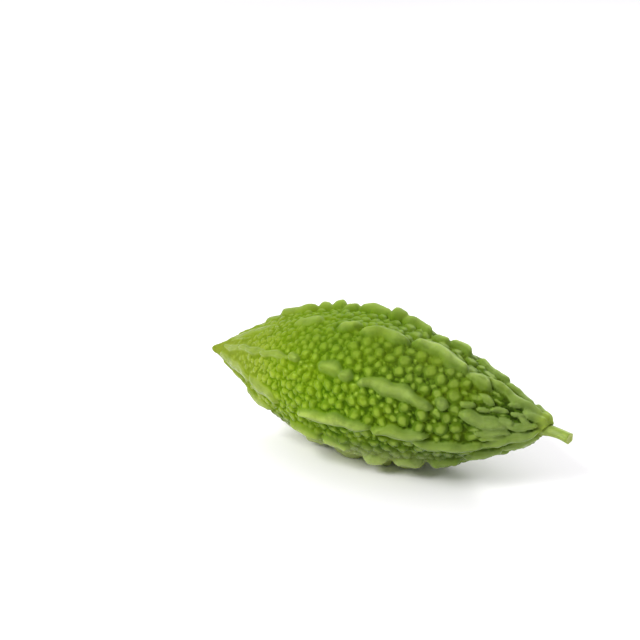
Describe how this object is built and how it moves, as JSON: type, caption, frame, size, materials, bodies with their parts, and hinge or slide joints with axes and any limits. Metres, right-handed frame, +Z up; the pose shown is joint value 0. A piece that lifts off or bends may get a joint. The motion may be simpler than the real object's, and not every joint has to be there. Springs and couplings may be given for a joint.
{
  "type": "bitter gourd",
  "caption": "Whole bitter gourd lying on its belly: a pointed, ridged and warty spindle-shaped fruit with a short cut stalk.",
  "frame": {"origin": "on the surface the gourd lies on, under the middle of its length and width", "axes": "+X along the gourd towards its stalk, +Z up, -Y towards the side that shows best"},
  "size_m": [0.1815, 0.0706, 0.0684],
  "materials": {
    "fruit": "satin, waxy green skin",
    "stalk": "matt, pale green stalk"
  },
  "bodies": {
    "root": {"fruit": "fruit", "stalk": "stalk"}
  },
  "joints": []
}
